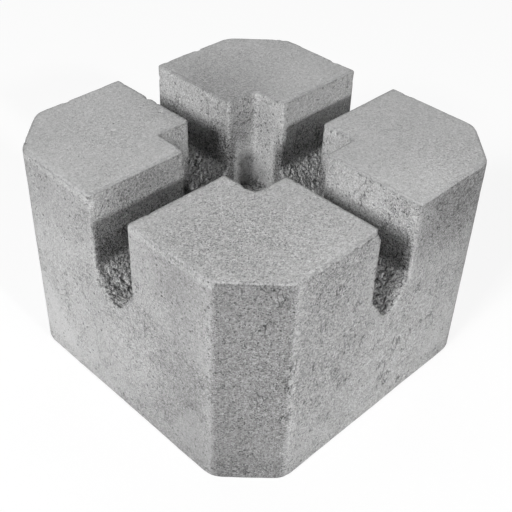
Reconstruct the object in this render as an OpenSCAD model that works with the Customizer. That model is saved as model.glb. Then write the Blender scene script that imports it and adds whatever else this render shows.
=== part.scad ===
// Deck base block, cast in one piece in dry concrete.
// A square block with its four upright corners cut off. Two joist slots cross in its top,
// and a square post socket is sunk where they meet.
// Millimetres, +Z up. The origin is at the middle of the underside.

/* [Block] */
// Side of the square plan, measured face to face
block_side = 267; // [230:1:340]
// Height from the ground to the top faces
block_height = 179; // [130:1:240]
// Length that each cut corner takes off the two sides it joins
corner_cut = 36; // [15:1:50]
// Width of the bevel along every top edge
top_bevel = 2; // [1:0.5:6]
// Width of the bevel round the underside
foot_bevel = 2; // [0.5:0.5:5]

/* [Joist slots] */
// Width between the upright walls of a slot
slot_w = 40; // [30:0.5:60]
// Depth of the upright walls below the top faces
slot_wall = 60; // [35:1:70]
// Width of the narrow bed that the sloping shoulders lead down to
bed_w = 8; // [4:1:25]
// Depth of the bed below the top faces
bed_depth = 82; // [75:1:110]

/* [Post socket] */
// Side of the square socket, wall to wall
socket_side = 99; // [80:1:130]
// Depth of the socket floor below the top faces
socket_depth = 82; // [40:1:110]
// Radius of the socket's upright inner corners
socket_corner_r = 5; // [2:0.5:10]

/* [Hidden] */
$fn = 48;
// How far a cut runs past the surface it opens
past = 5;
// Long enough to cross the plan from corner to corner
reach = 2 * block_side;
// Distance between two opposite cut corners
across_cuts = sqrt(2) * (block_side - corner_cut);
// Half sizes that the profiles are drawn with
slot_half = slot_w / 2;
bed_half = bed_w / 2;
socket_half = socket_side / 2;
corner_at = socket_half - socket_corner_r;

// Runs a profile drawn in Y and Z along X for the given length, centred
module run_along_x(length) {
  rotate([90, 0, 90])
    linear_extrude(height = length, center = true)
      children();
}

// An upright slab of the given width, bevelled along its top and bottom edges
module bevelled_slab(width) {
  half = width / 2;
  run_along_x(reach)
    polygon([
      [-half + foot_bevel, 0], [half - foot_bevel, 0],
      [half, foot_bevel], [half, block_height - top_bevel],
      [half - top_bevel, block_height], [-half + top_bevel, block_height],
      [-half, block_height - top_bevel], [-half, foot_bevel]
    ]);
}

// The whole block before its top is cut: four slabs, an eighth of a turn apart
module blank() {
  intersection_for(turn = [0 : 45 : 135])
    rotate(turn)
      bevelled_slab(turn % 90 == 0 ? block_side : across_cuts);
}

// What one joist slot takes away: flared mouth, upright walls, sloping shoulders, narrow bed
module joist_slot() {
  wall_foot = block_height - slot_wall;
  bed = block_height - bed_depth;
  mouth_foot = block_height - top_bevel;
  mouth = slot_half + top_bevel;
  run_along_x(reach)
    polygon([
      [-bed_half, bed], [bed_half, bed],
      [slot_half, wall_foot], [slot_half, mouth_foot],
      [mouth, block_height], [mouth, block_height + past],
      [-mouth, block_height + past], [-mouth, block_height],
      [-slot_half, mouth_foot], [-slot_half, wall_foot]
    ]);
}

// One pair of socket walls, as long as the straight stretch between the rounded corners
module socket_band() {
  mouth = socket_half + top_bevel;
  floor_z = block_height - socket_depth;
  run_along_x(2 * corner_at)
    polygon([
      [-socket_half, floor_z], [socket_half, floor_z],
      [socket_half, block_height - top_bevel], [mouth, block_height],
      [mouth, block_height + past], [-mouth, block_height + past],
      [-mouth, block_height], [-socket_half, block_height - top_bevel]
    ]);
}

// One rounded upright corner of the socket, flared at its mouth like the walls
module socket_corner() {
  mouth_r = socket_corner_r + top_bevel;
  translate([0, 0, block_height - socket_depth])
    cylinder(h = socket_depth, r = socket_corner_r);
  translate([0, 0, block_height - top_bevel])
    cylinder(h = top_bevel, r1 = socket_corner_r, r2 = mouth_r);
  translate([0, 0, block_height])
    cylinder(h = past, r = mouth_r);
}

// What the post socket takes away
module post_socket() {
  for (turn = [0, 90])
    rotate(turn)
      socket_band();
  for (x = [-corner_at, corner_at], y = [-corner_at, corner_at])
    translate([x, y, 0])
      socket_corner();
}

module block() {
  color("darkgray")
    difference() {
      blank();
      for (turn = [0, 90])
        rotate(turn)
          joist_slot();
      post_socket();
    }
}

block();
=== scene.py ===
# A dry-cast concrete deck base block: cut corners, two crossing joist slots and a square post socket.
# Everything is in metres, +Z up, with the origin at the middle of the underside.
import math
import bpy
from mathutils import Matrix, Vector


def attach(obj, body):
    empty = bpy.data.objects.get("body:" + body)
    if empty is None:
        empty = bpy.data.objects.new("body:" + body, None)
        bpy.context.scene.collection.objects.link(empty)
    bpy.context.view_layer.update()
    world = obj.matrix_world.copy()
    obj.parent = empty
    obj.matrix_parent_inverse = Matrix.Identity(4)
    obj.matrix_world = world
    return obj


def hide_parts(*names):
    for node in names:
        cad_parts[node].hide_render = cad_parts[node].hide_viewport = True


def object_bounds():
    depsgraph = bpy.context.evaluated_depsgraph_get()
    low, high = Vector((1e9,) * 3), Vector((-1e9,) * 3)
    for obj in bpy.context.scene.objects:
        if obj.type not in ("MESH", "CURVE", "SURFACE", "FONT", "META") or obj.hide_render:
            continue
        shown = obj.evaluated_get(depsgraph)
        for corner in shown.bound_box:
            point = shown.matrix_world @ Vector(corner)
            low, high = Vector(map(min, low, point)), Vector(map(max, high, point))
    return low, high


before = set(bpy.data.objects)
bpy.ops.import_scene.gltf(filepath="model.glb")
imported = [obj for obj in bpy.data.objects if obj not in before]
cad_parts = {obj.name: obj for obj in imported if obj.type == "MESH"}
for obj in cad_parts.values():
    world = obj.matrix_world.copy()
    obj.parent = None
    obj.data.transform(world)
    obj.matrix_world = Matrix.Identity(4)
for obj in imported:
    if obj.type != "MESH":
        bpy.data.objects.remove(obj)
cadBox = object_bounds()
mm = 0.001
blockSide = cadBox[1].x - cadBox[0].x
blockHeight = cadBox[1].z - cadBox[0].z


# A socket of a node tree, which sums can be written with
class Wire:
    def __init__(self, tree, socket):
        self.tree = tree
        self.socket = socket

    def maths(self, operation, *others):
        return self.tree.put("ShaderNodeMath", {"operation": operation}, [self, *others])

    # the same with the other one first
    def turned(self, operation, other):
        return self.tree.put("ShaderNodeMath", {"operation": operation}, [other, self])

    # another output of the same node
    def also(self, name):
        return Wire(self.tree, self.socket.node.outputs[name])

    def __add__(self, other):
        return self.maths("ADD", other)

    def __radd__(self, other):
        return self.turned("ADD", other)

    def __sub__(self, other):
        return self.maths("SUBTRACT", other)

    def __rsub__(self, other):
        return self.turned("SUBTRACT", other)

    def __mul__(self, other):
        return self.maths("MULTIPLY", other)

    def __rmul__(self, other):
        return self.turned("MULTIPLY", other)

    def __truediv__(self, other):
        return self.maths("DIVIDE", other)

    def __rtruediv__(self, other):
        return self.turned("DIVIDE", other)

    def __neg__(self):
        return self.maths("MULTIPLY", -1.0)

    def __abs__(self):
        return self.maths("ABSOLUTE")

    def atLeast(self, other):
        return self.maths("MAXIMUM", other)

    def atMost(self, other):
        return self.maths("MINIMUM", other)

    # the larger or smaller of two distances, blended where they are within reach of each other
    def over(self, other, reach):
        return self.maths("SMOOTH_MAX", other, reach)

    def under(self, other, reach):
        return self.maths("SMOOTH_MIN", other, reach)

    # eased from 0 at low to 1 at high
    def step(self, low, high):
        settings = {"interpolation_type": "SMOOTHSTEP"}
        return self.tree.put("ShaderNodeMapRange", settings, {0: self, 1: low, 2: high})


# A node tree: put() makes any node, sets it up, then fills or links its sockets
class Tree:
    def __init__(self, group):
        self.group = group

    def put(self, kind, settings=None, values=None, out=0):
        node = self.group.nodes.new(kind)
        for name, value in (settings or {}).items():
            setattr(node, name, value)
        pairs = values.items() if isinstance(values, dict) else enumerate(values or [])
        for key, value in pairs:
            self.fill(node.inputs[key], value)
        return Wire(self, node.outputs[out]) if len(node.outputs) else node

    def fill(self, socket, value):
        if isinstance(value, Wire):
            self.group.links.new(value.socket, socket)
        else:
            socket.default_value = value

    # smooth noise about zero, from roughly -0.5 to 0.5; the scale is in bumps a metre
    def noise(self, place, scale, detail=2.0, roughness=0.5):
        values = {"Vector": place, "Scale": scale, "Detail": detail, "Roughness": roughness}
        return self.put("ShaderNodeTexNoise", None, values) - 0.5

    # distance to the middle of the nearest cell; the scale is in cells a metre
    def cells(self, place, scale):
        return self.put("ShaderNodeTexVoronoi", None, {"Vector": place, "Scale": scale})

    # a chance number from 0 to 1 for each cell; its Y output is a second one
    def chance(self, cell):
        return self.parts(cell.also("Color"))

    # the X of a vector; its Y and Z are the other outputs
    def parts(self, vector):
        return self.put("ShaderNodeSeparateXYZ", None, [vector])

    def vector(self, operation, first, second, out="Vector"):
        return self.put("ShaderNodeVectorMath", {"operation": operation}, [first, second], out)

    # distance in metres to a spot given in millimetres
    def away(self, place, spot):
        return self.vector("DISTANCE", place, [part * mm for part in spot], out="Value")

    def attribute(self, name):
        return self.put("ShaderNodeAttribute", {"attribute_name": name}, out="Fac")


# The emptied node tree of a material or the world
def emptyTree(owner):
    owner.use_nodes = True
    owner.node_tree.nodes.clear()
    return Tree(owner.node_tree)


# Puts a mesh, a lamp or a camera in the scene
def addObject(name, data):
    added = bpy.data.objects.new(name, data)
    bpy.context.scene.collection.objects.link(added)
    return added


# Sizes of the block in millimetres; its side and height come from the frame
blockShape = {
    "Corner Cut": 36.0,      # taken off both sides at each upright corner
    "Slot Width": 40.0,
    "Slot Wall": 60.0,       # depth of the upright slot walls
    "Bed Width": 8.0,        # the narrow bed that the shoulders slope down to
    "Bed Depth": 82.0,
    "Socket Side": 99.0,
    "Socket Depth": 82.0,
    "Top Bevel": 1.1,
    "Worn Side": 0.5,        # how much wider that bevel is along the -X side
    "Rim Wear": 1.4,         # how far the rounding of the bevelled outer edges reaches
    "Slot Wear": 1.8,        # the same where the tops meet slots and socket
    "Mouth Wear": 1.5,       # the same on the upright edges at the slot mouths
    "Notch Wear": 3.6,       # the same on the upright edges round the socket
    "Corner Wear": 8.0,      # the same on the upright edges of the cut corners
    "Foot Wear": 3.0,        # the same round the underside
    "Socket Fillet": 8.0,    # how far the rounding in the socket's upright corners reaches
    "Crumble": 1.3,          # how deep the edges crumble
    "Skin": 0.4,             # how deep the moulded faces roll
    "Pebble": 2.5,           # size of the open aggregate in the beds
    "Pebble Depth": 2.1,
}
blockMesh = {
    "voxel": 1.15,           # the grid that the surface is drawn on, in millimetres
    "margin": 4.0,           # how far the grid goes past the block, in millimetres
    "pocket": 5000.0,        # a closed shell of fewer points than this is dropped
    "triangles": 190000,
    "seed": 7.0,
    "broad": 26.0,           # bumps a metre of the noises that make the cast uneven
    "middling": 110.0,
    "fine": 380.0,
    "loose": 60.0,           # loose stretches a metre along the edges
    "holes": 70.0,           # places a metre where a blow hole may be
    "bedBlend": 5.0,         # how softly the shoulders meet the bed, in millimetres
    "wallBlend": 3.0,        # the same for the slot walls and their floor
    "socketBlend": 2.0,      # the same for the socket walls and its floor
    "chipBlend": 0.7,        # the same round each chip
}
seedStep = (0.31, -0.17, 0.23)    # how far the noise moves for each 1 of the seed, in metres
# knocks out of the edges: where in millimetres, and how big
chips = [
    (-134.5, 19.0, 171.0, 4.5),
    (-133.5, 17.5, 107.0, 3.2),
    (-21.0, -134.0, 176.5, 3.6),
    (48.5, 20.0, 160.0, 2.6),
    (49.0, -34.0, 178.5, 2.6),
    (-20.5, 96.0, 179.5, 2.8),
    (-66.0, -134.5, 178.0, 2.4),
    (62.0, -134.5, 178.5, 2.6),
    (134.5, 41.0, 177.0, 4.2),
    (134.0, -19.5, 150.0, 3.4),
    (62.0, 134.5, 177.5, 3.8),
    (-71.0, 134.0, 178.0, 3.0),
    (133.0, 98.0, 2.0, 4.0),
    (-88.0, 134.0, 1.5, 3.6),
]


# Adds the named inputs to a tree, and gives their wires by name
def namedInputs(tree, names):
    for name in names:
        tree.group.interface.new_socket(name, in_out="INPUT", socket_type="NodeSocketFloat")
    first = tree.put("NodeGroupInput")
    return {name: first.also(name) for name in names}


# Uneven pebbles: cells whose borders wander
def pebbles(tree, grit, scale):
    values = {"Vector": grit, "Scale": 300.0, "Detail": 1.0}
    wander = tree.put("ShaderNodeTexNoise", None, values, out="Color")
    wander = tree.vector("MULTIPLY", wander, [2.6 * mm] * 3)
    return tree.cells(tree.vector("ADD", grit, wander), scale)


# 1 on the floor of a hollow, 0 on its walls, eased where they meet
def onFloor(floor, wall):
    return (floor - wall).step(-3.0 * mm, 2.0 * mm)


# How far a place is outside the solid, less than zero inside;
# also how much it is in a rough bed, and on an edge
def castField(tree, size, place):
    axes = tree.parts(place)
    x, y, z = abs(axes), abs(axes.also("Y")), axes.also("Z")
    wornSide = (-axes - size["Side"] / 2).step(-14.0 * mm, -2.0 * mm)
    # the seed moves the noise and leaves the shape where it is
    shift = tree.put("ShaderNodeCombineXYZ", None, [size["Seed"] * step for step in seedStep])
    grit = tree.vector("ADD", place, shift)
    broad = tree.noise(grit, blockMesh["broad"], 2.0)
    middling = tree.noise(grit, blockMesh["middling"], 3.0, 0.6)
    fine = tree.noise(grit, blockMesh["fine"], 2.0, 0.6)

    # the outside: four sides, four cut corners, the bevel round the tops, the top and the foot
    uneven = 1.0 + broad * 0.8 + middling * 0.6
    half = size["Side"] / 2
    cut = (x + y) / math.sqrt(2) - (size["Side"] - size["Corner Cut"]) / math.sqrt(2)
    around = (x - half).over(cut, size["Corner Wear"]).over(y - half, size["Corner Wear"])
    top = z - size["Height"]
    bevel = (around + top + (size["Top Bevel"] + size["Worn Side"] * wornSide) * uneven) / math.sqrt(2)
    outer = around.over(top, size["Rim Wear"]).over(bevel, size["Rim Wear"]).over(-z, size["Foot Wear"])

    # pebbles of open aggregate stand out of the beds and the socket floor, and some have dropped out
    pebble = pebbles(tree, grit, 1 / size["Pebble"])
    chance = tree.chance(pebble)
    crumb = tree.cells(grit, 1.8 / size["Pebble"])
    dropped = chance.also("Y").step(0.62, 0.75) * 0.75
    rough = (0.5 - pebble + (chance - 0.5) * 0.5 - dropped) * size["Pebble Depth"]
    rough = rough + (0.4 - crumb) * size["Pebble Depth"] * 0.5 + fine * 3.0 * mm + middling * 2.6 * mm
    rough = rough * (0.75 + broad * 1.8).atLeast(0.3)

    # the two slots: upright walls, then shoulders that slope in to a narrow bed
    slotHalf, bedHalf = size["Slot Width"] / 2, size["Bed Width"] / 2
    bedZ = size["Height"] - size["Bed Depth"]
    rise = size["Bed Depth"] - size["Slot Wall"]
    run = slotHalf - bedHalf
    slope = (rise * rise + run * run).maths("SQRT")
    bed = bedZ - z + rough

    def trench(across):
        shoulder = ((across - bedHalf) * rise - (z - bedZ) * run) / slope + rough * 0.7
        floor = shoulder.over(bed, blockMesh["bedBlend"] * mm)
        wall = across - slotHalf
        return wall.over(floor, blockMesh["wallBlend"] * mm), onFloor(floor, wall)

    alongX, openX = trench(y)
    alongY, openY = trench(x)
    socketHalf = size["Socket Side"] / 2
    socketWall = (x - socketHalf).over(y - socketHalf, size["Socket Fillet"])
    socketFloor = size["Height"] - size["Socket Depth"] - z + rough
    socket = socketWall.over(socketFloor, blockMesh["socketBlend"] * mm)
    openSocket = onFloor(socketFloor, socketWall)
    notchWear = size["Notch Wear"] * uneven
    hollow = alongX.under(alongY, notchWear).under(socket, notchWear)
    nearTop = (top + size["Slot Wear"]).step(-3.0 * mm, 2.0 * mm)
    wear = size["Mouth Wear"] + (size["Slot Wear"] - size["Mouth Wear"]) * nearTop
    solid = outer.over(-hollow, wear * uneven)

    # the nearest hollow decides whose floor counts
    def near(space):
        return (hollow + 2.5 * mm - space).step(0.0, 2.0 * mm)

    inBed = (openX * near(alongX)).atLeast(openY * near(alongY)).atLeast(openSocket * near(socket))
    inBed = inBed * (-outer).step(-1.0 * mm, 2.0 * mm)
    rim = abs(around - top).atLeast(-outer)
    edge = 1.0 - abs(outer + hollow).atMost(rim).step(1.0 * mm, 6.0 * mm)

    # moulded faces roll a little, edges crumble, and a few blow holes stay open
    skin = (0.5 + broad * 1.2 + middling * 0.5) * size["Skin"]
    loose = tree.noise(grit, blockMesh["loose"], 2.0).step(-0.06, 0.2)
    bite = middling.step(0.0, 0.3) * loose + abs(fine) * 0.55
    hole = tree.cells(grit, blockMesh["holes"])
    wide = (tree.chance(hole) - 0.8) * 0.7
    blow = (wide - hole).step(-0.03, 0.06) * 1.8 * mm
    solid = solid + skin + bite * edge * size["Crumble"] + blow
    for across, along, up, radius in chips:
        ragged = radius * mm * (1.0 + middling * 1.2 + fine * 0.8)
        knock = ragged - tree.away(place, (across, along, up))
        solid = solid.over(knock, blockMesh["chipBlend"] * mm)
    return solid.atLeast(-z), inBed, edge


def castTree(material, count):
    group = bpy.data.node_groups.new("castBlock", "GeometryNodeTree")
    tree = Tree(group)
    size = namedInputs(tree, ["Side", "Height", "Seed", *blockShape])
    group.interface.new_socket("Geometry", in_out="OUTPUT", socket_type="NodeSocketGeometry")
    solid, inBed, edge = castField(tree, size, tree.put("GeometryNodeInputPosition"))
    margin = Vector([blockMesh["margin"] * mm] * 3)
    values = {"Density": -solid, "Background": -1.0, "Min": cadBox[0] - margin, "Max": cadBox[1] + margin}
    for axis, steps in zip("XYZ", count):
        values["Resolution " + axis] = steps
    cube = tree.put("GeometryNodeVolumeCube", None, values)
    cast = tree.put("GeometryNodeVolumeToMesh", None, {"Volume": cube, "Threshold": 0.0})
    # drops closed pockets under the skin
    island = tree.put("GeometryNodeInputMeshIsland")
    points = tree.put("GeometryNodeAccumulateField", {"data_type": "FLOAT"},
                      {"Value": 1.0, "Group ID": island}, out="Total")
    pocket = tree.put("FunctionNodeCompare", {"operation": "LESS_THAN"}, {0: points, 1: blockMesh["pocket"]})
    cast = tree.put("GeometryNodeDeleteGeometry", None, {"Geometry": cast, "Selection": pocket})
    for name, field in (("inBed", inBed), ("edge", edge)):
        cast = tree.put("GeometryNodeStoreNamedAttribute", {"data_type": "FLOAT", "domain": "POINT"},
                        {"Geometry": cast, "Name": name, "Value": field})
    cast = tree.put("GeometryNodeSetShadeSmooth", None, {"Geometry": cast})
    cast = tree.put("GeometryNodeRealizeInstances", None, {"Geometry": cast})
    cast = tree.put("GeometryNodeSetMaterial", None, {"Geometry": cast, "Material": material})
    tree.put("NodeGroupOutput", None, [cast])
    return group


def makeBlock(material):
    spare = 2 * blockMesh["margin"] * mm
    extents = (blockSide, blockSide, blockHeight)
    count = [round((extent + spare) / (blockMesh["voxel"] * mm)) for extent in extents]
    group = castTree(material, count)
    block = addObject("castBlock", bpy.data.meshes.new("blank"))
    modifier = block.modifiers.new("cast", "NODES")
    modifier.node_group = group
    values = {name: value * mm for name, value in blockShape.items()}
    values.update({"Side": blockSide, "Height": blockHeight, "Seed": blockMesh["seed"]})
    for socket in group.interface.items_tree:
        if socket.in_out == "INPUT":
            modifier[socket.identifier] = values[socket.name]
    makePlain(block)
    thin(block, blockMesh["triangles"])
    return block


# The result of an object's modifiers as a plain mesh
def makePlain(piece):
    graph = bpy.context.evaluated_depsgraph_get()
    mesh = bpy.data.meshes.new_from_object(piece.evaluated_get(graph))
    piece.modifiers.clear()
    piece.data = mesh
    mesh.validate()


def countTriangles(mesh):
    return sum(len(face.vertices) - 2 for face in mesh.polygons)


# Brings a mesh under a number of triangles, flat stretches first
def thin(piece, most):
    drawn = countTriangles(piece.data)
    if drawn > most:
        modifier = piece.modifiers.new("thin", "DECIMATE")
        modifier.ratio = most / drawn
        makePlain(piece)
    print("triangles drawn:", drawn, "kept:", countTriangles(piece.data))


# The plain sides have tone 1; each kind of place below is that much lighter or darker
concrete = {
    "tone": 0.40,
    "cutTone": 0.62,         # the cut corners are darker
    "bedTone": 0.95,         # the open aggregate of the beds and the socket floor
    "topTone": 1.09,         # painted light: the tops are made paler, for light from above that the lamps don't give them
    "deepTone": 0.42,        # painted shade low down on the walls of the slots, where their shadows fall
    "insideTone": 1.27,      # painted light: everything within the slots and the socket is made lighter, for light the lamps don't bring in there
    "rimTone": 1.17,         # painted highlight: a band below the top edge of the -X side, the side the left key lights
    "lipTone": 0.82,         # painted shade: the narrow bevel round the tops, toned down against the light it catches
    "roughness": 0.93,
    "specular": 0.25,
    "grain": 1.0,            # how much the sand shows, in tone and in relief
    "relief": 0.7,           # depth of the sand in millimetres
    "sand": 900.0,           # how many to a metre, down to the drift
    "dust": 1400.0,
    "speckle": 1000.0,
    "lump": 420.0,
    "clump": 210.0,
    "stroke": 430.0,
    "streak": 85.0,
    "gap": 150.0,
    "cloud": 11.0,           # broad changes of tone
    "mottle": 42.0,
    "drift": 24.0,           # changes in how coarse the sand is
    "pitShade": 0.4,         # how much darker a pinhole is
    "gapShade": 0.36,        # the same for the gaps along the drag strokes
    "betweenShade": 0.5,     # the same between the pebbles of the beds
    "darkest": 0.03,         # bounds of the finished tone
    "palest": 0.8,
}
# pinholes: cells to a metre, the share of the cells without one, and how wide the holes are
pinholeSizes = {
    "tiny": (430.0, 0.55, 0.45),
    "small": (230.0, 0.7, 0.5),
    "large": (95.0, 0.86, 0.6),
    "sharp": (400.0, 0.84, 2.8),    # only off the tops
}
# broad patches, partly the concrete's own uneven tone and partly painted light and shade where the lamps
# light the block otherwise:
# where in millimetres, how far they reach, the change in tone and in grain;
# those at the full height stay on the tops, the others off them
toneAndLightPatches = [
    (-85.0, -80.0, 179.0, 100.0, 0.0, 0.85),
    (25.0, 75.0, 179.0, 85.0, -0.28, 0.0),
    (65.0, -125.0, 179.0, 60.0, 0.10, 0.3),
    (20.0, -110.0, 179.0, 60.0, 0.12, 0.0),
    (-70.0, -130.0, 179.0, 45.0, 0.16, 0.0),
    (-128.0, 65.0, 179.0, 45.0, 0.08, 0.0),
    (-90.0, 20.0, 179.0, 30.0, 0.08, 0.0),
    (-133.0, 70.0, 40.0, 130.0, 0.19, -0.4),
    (-133.0, 70.0, 172.0, 80.0, -0.19, -0.2),
    (-133.0, -70.0, 170.0, 75.0, -0.28, -0.2),
    (-133.0, -25.0, 65.0, 55.0, 0.10, 0.0),
    (-133.0, -75.0, 85.0, 65.0, -0.16, -0.1),
    (-133.0, -95.0, 15.0, 90.0, -0.18, -0.3),
    (-133.0, 20.0, 30.0, 75.0, 0.0, -0.2),
    (95.0, -133.0, 155.0, 85.0, -0.29, 0.3),
    (40.0, -133.0, 168.0, 70.0, -0.28, 0.2),
    (-65.0, -133.0, 168.0, 60.0, -0.05, 0.9),
    (-75.0, -133.0, 90.0, 80.0, 0.0, 0.7),
    (-118.0, -133.0, 60.0, 70.0, 0.06, 0.0),
    (0.0, -133.0, 35.0, 150.0, 0.40, 0.45),
    (10.0, -133.0, 20.0, 70.0, 0.06, 0.0),
    (-115.0, -115.0, 58.0, 34.0, -0.09, 0.0),
    # painted shade on the inner walls facing -Y, which the right key lights more than the real ones
    (-80.0, 20.0, 165.0, 70.0, -0.34, 0.0),
    # painted light on the lit wall facing -X in the slot in front
    (20.0, -95.0, 165.0, 50.0, 0.15, 0.0),
    # painted shade on the socket wall facing -Y
    (35.0, 49.0, 150.0, 36.0, -0.42, 0.0),
    (133.0, 60.0, 40.0, 130.0, 0.12, 0.1),
    (-60.0, 133.0, 120.0, 90.0, -0.12, 0.2),
    (80.0, 133.0, 30.0, 110.0, 0.12, 0.0),
]


# How much each kind of place a point of the surface is, from 0 to 1
def kindsOfPlace(tree, place):
    axes = tree.parts(place)
    x, y = abs(axes), abs(axes.also("Y"))
    up = axes.also("Z") - blockHeight
    half = blockSide / 2
    bed, edge = tree.attribute("inBed"), tree.attribute("edge")
    top = up.step(-1.8 * mm, -0.9 * mm)
    cutPlane = (blockSide - blockShape["Corner Cut"] * mm) / math.sqrt(2)
    cut = ((x + y) / math.sqrt(2) - cutPlane).step(-2.5 * mm, -0.5 * mm) * (1.0 - top)
    side = x.atLeast(y).step(half - 3.0 * mm, half - 1.5 * mm) * (1.0 - top)
    # painted light: everything within the slots and the socket, lightened by insideTone
    inside = (1.0 - top) * (1.0 - side) * (1.0 - cut)
    # painted shade: low down on the slot walls, darkened by deepTone where the slots' shadows fall
    deep = inside * (1.0 - bed) * up.step(-18.0 * mm, -52.0 * mm)
    deep = deep * x.atMost(y).step(30.0 * mm, 24.0 * mm)
    # painted highlight: a band below the top edge of the -X side, lightened by rimTone
    rim = side * up.step(-7.5 * mm, -5.5 * mm) * (-axes - half).step(-3.0 * mm, -1.5 * mm)
    # painted shade: the narrow bevel round the tops, darkened by lipTone against the light it catches
    lip = edge.step(0.7, 1.0) * up.step(-4.0 * mm, -2.5 * mm)
    return {"cut": cut, "bed": bed, "top": top, "deep": deep, "inside": inside, "rim": rim, "lip": lip}


# Small round holes, one in some of the cells
def pinholes(tree, place, name):
    scale, rarity, width = pinholeSizes[name]
    cell = tree.cells(place, scale)
    return ((tree.chance(cell) - rarity) * width - cell).step(-0.05, 0.06)


def concreteMaterial():
    material = bpy.data.materials.new("dryCastConcrete")
    tree = emptyTree(material)
    place = tree.put("ShaderNodeTexCoord", out="Object")
    kinds = kindsOfPlace(tree, place)
    onTop = kinds["top"]
    offTop = 1.0 - onTop

    # broad tone, and how coarse the sand is
    tone = 1.0 + tree.noise(place, concrete["cloud"]) * 0.16 + tree.noise(place, concrete["mottle"]) * 0.10
    coarse = 0.8 + tree.noise(place, concrete["drift"]) * 0.5 - onTop * 0.24
    coarse = coarse + kinds["cut"] * 0.5 + kinds["inside"] * 0.18
    # broad patches of tone, some of them painted light and shade
    for across, along, up, reach, toneChange, grainChange in toneAndLightPatches:
        where = onTop if up * mm > blockHeight - mm else offTop
        amount = tree.away(place, (across, along, up)).step(reach * mm, 0.0) * where
        tone = tone + amount * toneChange
        coarse = coarse + amount * grainChange
    # low in the slots the sand is made stronger in tone, standing in for the shading of its relief in the
    # shadows there
    coarse = (coarse + kinds["bed"] * 0.8 + kinds["deep"] * 1.4).atLeast(0.2) * concrete["grain"]

    # faint upright streaks where the sides slid out of the mould
    streak = tree.noise(tree.vector("MULTIPLY", place, (1.0, 1.0, 0.07)), concrete["streak"], 3.0, 0.6)
    tone = tone + streak * 0.12 * offTop

    # sand: single grains, finer dust between them, short drag strokes on the upright faces
    stretched = tree.vector("MULTIPLY", place, (1.0, 1.0, 0.45))
    sand = tree.noise(place, concrete["sand"], 2.0, 0.8)
    lump = tree.noise(place, concrete["lump"], 2.0, 0.6)
    clump = tree.noise(place, concrete["clump"], 2.0, 0.6)
    shade = tree.chance(tree.cells(place, concrete["sand"])) - 0.5
    dust = tree.chance(tree.cells(place, concrete["dust"])) - 0.5
    strokes = tree.noise(stretched, concrete["stroke"], 2.0, 0.6) * offTop
    speckle = tree.noise(place, concrete["speckle"], 1.0)
    dark, bright = speckle.step(0.13, 0.22), speckle.step(-0.13, -0.22)

    # short dark gaps along the drag strokes
    gap = abs(tree.noise(stretched, concrete["gap"], 2.0, 0.55)).step(0.035, 0.0)
    gap = gap * tree.noise(place, 70.0).step(0.02, 0.16) * offTop * coarse

    pits = pinholes(tree, place, "tiny").atLeast(pinholes(tree, place, "small")) * coarse.atMost(1.0)
    pits = pits.atLeast(pinholes(tree, place, "large"))
    pits = pits.atLeast(pinholes(tree, place, "sharp") * offTop)

    tone = tone + (sand * 0.5 + shade * 0.4 + dust * 0.36 + clump * 0.08 + strokes * 0.2) * coarse
    tone = tone + (bright * 0.2 - dark * 0.42) * coarse + (lump * 0.45 + clump * 0.16) * onTop
    # each kind's own tone; topTone, insideTone and rimTone are painted light, deepTone and lipTone painted
    # shade
    for kind, amount in kinds.items():
        tone = tone * (1.0 + amount * (concrete[kind + "Tone"] - 1.0))
    tone = tone * (1.0 - pits * concrete["pitShade"]) * (1.0 - gap * concrete["gapShade"])

    # dark gaps between the pebbles of the beds
    shift = [blockMesh["seed"] * step for step in seedStep]
    pebble = pebbles(tree, tree.vector("ADD", place, shift), 1 / (blockShape["Pebble"] * mm))
    patchy = 0.3 + tree.noise(place, 75.0).step(-0.12, 0.14) * 0.7
    between = pebble.step(0.45, 0.75) * kinds["bed"] * patchy
    tone = tone * (1.0 - between * concrete["betweenShade"])
    tone = (tone * concrete["tone"]).atLeast(concrete["darkest"]).atMost(concrete["palest"])
    # the tone as a grey, on the way from black to white
    greys = {0: tone, 6: (0, 0, 0, 1), 7: (1, 1, 1, 1)}
    colour = tree.put("ShaderNodeMix", {"data_type": "RGBA"}, greys, out=2)

    raised = (sand + shade * 0.4 + strokes * 0.6 + clump * coarse * 0.4 - dark * 0.5) * coarse - pits * 1.2
    raised = raised - gap * 0.7 - between * 2.0
    relief = tree.put("ShaderNodeBump", None, {
        "Strength": 1.0,
        "Distance": concrete["relief"] * mm,
        "Height": raised,
    }, out="Normal")
    shader = tree.put("ShaderNodeBsdfPrincipled", None, {
        "Base Color": colour,
        "Roughness": (concrete["roughness"] + sand * 0.1).atMost(1.0),
        "Specular IOR Level": concrete["specular"],
        "Normal": relief,
    })
    tree.put("ShaderNodeOutputMaterial", None, [shader])
    return material


# The view, in metres and degrees, about a point near the middle of the block; the lens is in millimetres
camera = {
    "aim": (-0.0158, -0.0198, 0.0895),
    "distance": 0.6815,
    "azimuth": -46.14,
    "elevation": 38.51,
    "roll": 2.19,
    "lens": 63.27,
}
# two keys from the front sides, one soft and one hard, and a broad light from behind
lamps = {
    "leftKey": {"azimuth": -81.5, "elevation": 35.5, "distance": 3.0, "width": 0.62, "power": 87},
    "rightKey": {"azimuth": -5.7, "elevation": 29.0, "distance": 3.0, "width": 0.20, "power": 47},
    "behind": {"azimuth": 134.0, "elevation": 55.0, "distance": 3.0, "width": 1.6, "power": 22},
}
stage = {
    "middle": (0, 0, 0.09),  # what the lamps point at
    "reach": 8.0,            # half the floor's side
    "floor": 0.90,
    "white": 0.86,           # how much of the floor is plain white to the camera
    "room": 0.01,
}


def pointFrom(centre, azimuth, elevation, distance):
    turn, lift = math.radians(azimuth), math.radians(elevation)
    away = Vector((math.sin(turn) * math.cos(lift), -math.cos(turn) * math.cos(lift), math.sin(lift)))
    return Vector(centre) + away * distance


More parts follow.
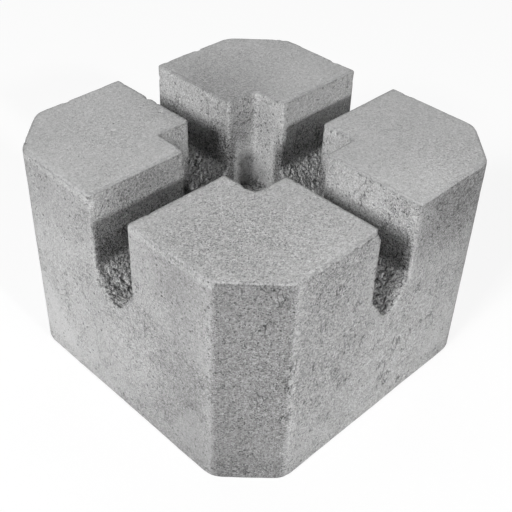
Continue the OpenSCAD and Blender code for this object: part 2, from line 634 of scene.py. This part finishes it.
def facing(place, aim, roll=0.0):
    turn = (Vector(aim) - place).to_track_quat("-Z", "Y").to_matrix().to_4x4()
    return Matrix.Translation(place) @ turn @ Matrix.Rotation(math.radians(roll), 4, "Z")


def makeCamera():
    data = bpy.data.cameras.new("view")
    data.lens = camera["lens"]
    seen = addObject("view", data)
    place = pointFrom(camera["aim"], camera["azimuth"], camera["elevation"], camera["distance"])
    seen.matrix_world = facing(place, camera["aim"], camera["roll"])
    bpy.context.scene.camera = seen


def makeLamps():
    for name, made in lamps.items():
        data = bpy.data.lights.new(name, "AREA")
        data.size = made["width"]
        data.energy = made["power"]
        place = pointFrom(stage["middle"], made["azimuth"], made["elevation"], made["distance"])
        addObject(name, data).matrix_world = facing(place, stage["middle"])


def makeFloor():
    reach = stage["reach"]
    data = bpy.data.meshes.new("floor")
    corners = [(-reach, -reach, 0), (reach, -reach, 0), (reach, reach, 0), (-reach, reach, 0)]
    data.from_pydata(corners, [], [(0, 1, 2, 3)])
    floor = addObject("floor", data)
    material = bpy.data.materials.new("paleFloor")
    tree = emptyTree(material)
    matt = tree.put("ShaderNodeBsdfDiffuse", None, {"Color": (stage["floor"],) * 3 + (1,)})
    glow = tree.put("ShaderNodeEmission", None, {"Color": (1, 1, 1, 1), "Strength": 1.0})
    path = tree.put("ShaderNodeLightPath", out="Is Camera Ray")
    mixed = tree.put("ShaderNodeMixShader", None, {0: path * stage["white"], 1: matt, 2: glow})
    tree.put("ShaderNodeOutputMaterial", None, [mixed])
    data.materials.append(material)


# White to the camera, and almost dark to the block
def makeRoom():
    world = bpy.data.worlds.new("room")
    bpy.context.scene.world = world
    tree = emptyTree(world)
    path = tree.put("ShaderNodeLightPath", out="Is Camera Ray")
    light = stage["room"] + path * (1 - stage["room"])
    room = tree.put("ShaderNodeBackground", None, {0: (1, 1, 1, 1), 1: light})
    tree.put("ShaderNodeOutputWorld", None, [room])
    bpy.context.scene.view_settings.view_transform = "Standard"


makeCamera()
print("camera placed")
block = makeBlock(concreteMaterial())
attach(block, "root")
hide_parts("block")
print("block cast")
makeFloor()
makeRoom()
makeLamps()
print("stage lit")
